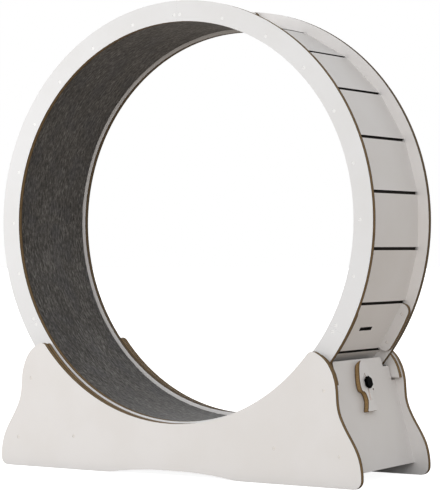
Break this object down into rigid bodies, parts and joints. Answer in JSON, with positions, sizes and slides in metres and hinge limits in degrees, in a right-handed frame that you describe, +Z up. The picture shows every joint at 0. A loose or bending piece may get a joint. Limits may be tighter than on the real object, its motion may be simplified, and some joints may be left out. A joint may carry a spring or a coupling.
{
  "type": "cat exercise wheel",
  "caption": "Large upright running wheel for a cat: two flat rings and a kerfed drum lined with carpet, on rollers in a low cradle base with a sliding wheel lock.",
  "frame": {"origin": "on the floor, centre of the bounding box, under the wheel axis", "axes": "+Z up; +Y along the wheel axis, away from the front; +X towards the end with the wheel lock"},
  "size_m": [1, 0.334, 1.075],
  "materials": {
    "board": "white laminate faces, raw brown fibreboard edges",
    "carpet": "charcoal needle felt",
    "steel": "zinc plated",
    "tyre": "matt",
    "hub": "matt",
    "knob": "fine satin black"
  },
  "bodies": {
    "base": {"side_panel_front": "board", "side_panel_back": "board", "end_board_right": "board", "end_board_left": "board", "saddle_front": "board", "saddle_back": "board", "cross_rail_right": "board", "cross_rail_left": "board", "axle_right": "steel", "axle_left": "steel", "axle_spacer_right": "steel", "axle_spacer_left": "steel", "bearing_inner_races": "steel", "roller_washers": "steel", "panel_screws_front": "steel", "panel_screws_back": "steel", "saddle_screws": "steel", "lock_stud": "steel", "slide_washer": "steel"},
    "wheel": {"ring_front_right": "board", "ring_front_left": "board", "ring_front_bottom": "board", "ring_back_right": "board", "ring_back_left": "board", "ring_back_bottom": "board", "drum_wall_right": "board", "drum_wall_top": "board", "drum_wall_bottom": "board", "tread_carpet": "carpet", "lock_plate_front": "board", "lock_plate_back": "board", "joint_plate_front_top": "board", "joint_plate_back_top": "board", "joint_plate_front_left": "board", "joint_plate_back_left": "board", "ring_screws_front": "steel", "ring_screws_back": "steel", "joint_screws_front": "steel", "joint_screws_back": "steel"},
    "roller_front_right": {"roller_tyre_front_right": "tyre", "roller_hub_front_right": "hub", "roller_bearing_front_right": "steel"},
    "roller_front_left": {"roller_tyre_front_left": "tyre", "roller_hub_front_left": "hub", "roller_bearing_front_left": "steel"},
    "roller_back_right": {"roller_tyre_back_right": "tyre", "roller_hub_back_right": "hub", "roller_bearing_back_right": "steel"},
    "roller_back_left": {"roller_tyre_back_left": "tyre", "roller_hub_back_left": "hub", "roller_bearing_back_left": "steel"},
    "lock_slide": {"lock_slide": "board"},
    "lock_knob": {"lock_knob": "knob", "knob_insert": "steel", "knob_washer": "steel"}
  },
  "joints": [
    {"name": "wheel_spin", "type": "hinge", "parent": "base", "child": "wheel", "pos_m": [0, 0, 0.575], "axis": [0, 1, 0], "continuous": true},
    {"name": "roller_front_right_spin", "type": "hinge", "parent": "base", "child": "roller_front_right", "pos_m": [0.36143, 0, 0.20073], "axis": [0, 1, 0], "continuous": true},
    {"name": "roller_front_left_spin", "type": "hinge", "parent": "base", "child": "roller_front_left", "pos_m": [-0.36143, 0, 0.20073], "axis": [0, 1, 0], "continuous": true},
    {"name": "roller_back_right_spin", "type": "hinge", "parent": "base", "child": "roller_back_right", "pos_m": [0.36143, 0, 0.20073], "axis": [0, 1, 0], "continuous": true},
    {"name": "roller_back_left_spin", "type": "hinge", "parent": "base", "child": "roller_back_left", "pos_m": [-0.36143, 0, 0.20073], "axis": [0, 1, 0], "continuous": true},
    {"name": "lock_slide", "type": "slide", "parent": "base", "child": "lock_slide", "axis": [-0.2605, 0, 0.9655], "range_m": [-0.015, 0.024]},
    {"name": "lock_knob_turn", "type": "hinge", "parent": "base", "child": "lock_knob", "pos_m": [0.4001, -0.0045, 0.21316], "axis": [0.9655, 0, 0.2605], "range_deg": [0, 360]}
  ],
  "couplings": [
    {"joint": "roller_front_right_spin", "follows": "wheel_spin", "ratio": -25},
    {"joint": "roller_front_left_spin", "follows": "wheel_spin", "ratio": -25},
    {"joint": "roller_back_right_spin", "follows": "wheel_spin", "ratio": -25},
    {"joint": "roller_back_left_spin", "follows": "wheel_spin", "ratio": -25}
  ]
}
